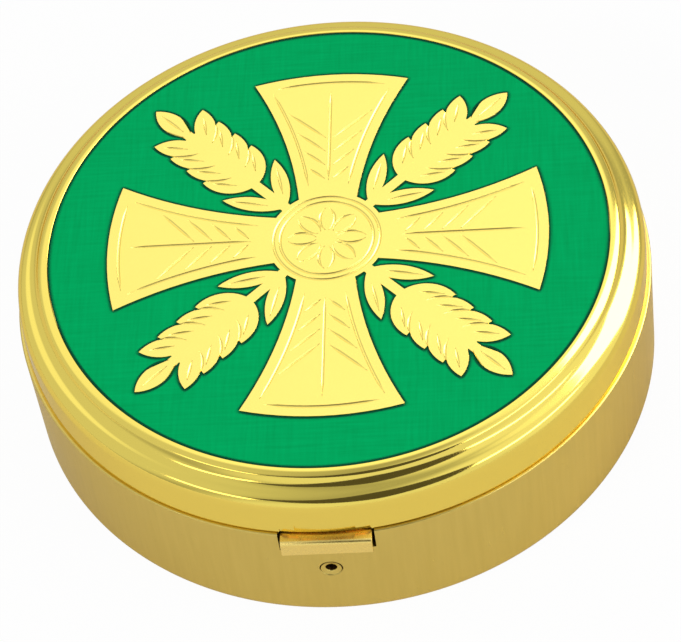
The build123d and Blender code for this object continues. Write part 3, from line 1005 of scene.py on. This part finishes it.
def add_lamp(name, direction, size, power):
    """Flat lamp that faces the object and that only its matt surfaces see."""
    data = bpy.data.lights.new(name, "AREA")
    data.shape = "RECTANGLE"
    data.size, data.size_y = (length * MM for length in size)
    data.energy = power
    lamp = placed_object(name, data)
    aim = Vector(direction).normalized()
    lamp.location = aim * (LAMP_DISTANCE * MM)
    lamp.rotation_mode = "QUATERNION"
    lamp.rotation_quaternion = aim.to_track_quat("Z", "Y")
    lamp.visible_camera = False
    lamp.visible_glossy = False


def surroundings():
    """White for the camera, an even light for matt surfaces, and a tent with paler places for reflections."""
    world = bpy.data.worlds.new("studio")
    bpy.context.scene.world = world
    world.use_nodes = True
    tree = world.node_tree
    tree.nodes.clear()
    place = add_node(tree, "ShaderNodeTexCoord")
    under = {}
    for direction, first, last, level in TENT_WINDOWS:
        settings = {"operation": "DOT_PRODUCT", 1: Vector(direction).normalized()}
        turn = add_node(tree, "ShaderNodeVectorMath", settings, {0: place.outputs["Generated"]})
        settings = {"interpolation_type": "SMOOTHSTEP", "From Min": first, "From Max": last}
        share = add_node(tree, "ShaderNodeMapRange", settings, {"Value": turn.outputs["Value"]})
        settings = {"data_type": "FLOAT", 2: TENT_LEVEL, 3: level}
        tent = add_node(tree, "ShaderNodeMix", settings, {0: share.outputs[0], **under})
        under = {2: tent.outputs[0]}

    path = add_node(tree, "ShaderNodeLightPath")
    mirrored_ray, camera_ray = path.outputs["Is Glossy Ray"], path.outputs["Is Camera Ray"]
    settings = {"data_type": "FLOAT", 2: MATT_LIGHT}
    lit = add_node(tree, "ShaderNodeMix", settings, {0: mirrored_ray, 3: tent.outputs[0]})
    seen = add_node(tree, "ShaderNodeMix", {"data_type": "FLOAT", 3: 1.0}, {0: camera_ray, 2: lit.outputs[0]})
    colours = {"data_type": "RGBA", 6: WHITE, 7: TENT_COLOUR}
    colour = add_node(tree, "ShaderNodeMix", colours, {0: mirrored_ray})
    links = {"Color": colour.outputs[2], "Strength": seen.outputs[0]}
    sky = add_node(tree, "ShaderNodeBackground", links=links)
    add_node(tree, "ShaderNodeOutputWorld", links={"Surface": sky.outputs[0]})


def add_camera():
    """Camera above the front, turned and rolled as in the photograph."""
    data = bpy.data.cameras.new("camera")
    data.sensor_width = CAMERA_SENSOR
    data.lens = CAMERA_LENS
    camera = placed_object("camera", data)
    back = sky_direction(CAMERA_AZIMUTH, CAMERA_ELEVATION)
    tilt = Quaternion((1, 0, 0), radians(CAMERA_TILT))
    roll = Quaternion((0, 0, 1), radians(CAMERA_ROLL))
    camera.location = back * (CAMERA_DISTANCE * MM)
    camera.rotation_mode = "QUATERNION"
    camera.rotation_quaternion = (-back).to_track_quat("-Z", "Y") @ tilt @ roll
    bpy.context.scene.camera = camera


buffed = gold_buffed_to_a_mirror()
satin = gold_brushed_to_satin()
struck = gold_struck_in_a_die()
tumbled = gold_tumbled_bright()
bore = brass_painted_dark_as_shade()
enamel = enamel_stoned_flat()

dress(base_cup_mesh(), satin, "base", "base_cup")
dress(lid_shell_mesh(), buffed, "lid", "lid_shell")
dress(relief_mesh(), struck, "lid", "medallion_plate")
dress(spring_mesh(), tumbled, "catch", "catch_spring")
rivet = rivet_mesh()
dress(rivet, satin, "base", "catch_rivet")
# The rivet's second material is painted shade for its bore and its joint
rivet.data.materials.append(bore)
for body, indices, gap in (("base", BASE_KNUCKLES, PIN_PRESS_GAP), ("lid", LID_KNUCKLES, PIN_RUNNING_GAP)):
    for number, index in enumerate(indices, start=1):
        name = f"{body}_knuckle_{number}"
        dress(knuckle_mesh(name + "_turned", index, PIN_RADIUS + gap), buffed, body, name)
dress(hinge_pin_mesh(), buffed, "base", "hinge_pin")

# The inner collar and the enamel keep their drawn shapes
finishes = {"polished_gold": buffed, "satin_gold": satin, "struck_gold": struck, "green_enamel": enamel}
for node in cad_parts.values():
    for slot in node.material_slots:
        slot.material = finishes.get(slot.material.name.split(".")[0], buffed)

add_table()
for name, (strength, corners) in CARDS.items():
    add_card(name, strength, corners)
for name, (direction, size, power) in LAMPS.items():
    add_lamp(name, direction, size, power)
surroundings()
add_camera()
bpy.context.scene.view_settings.view_transform = "Standard"
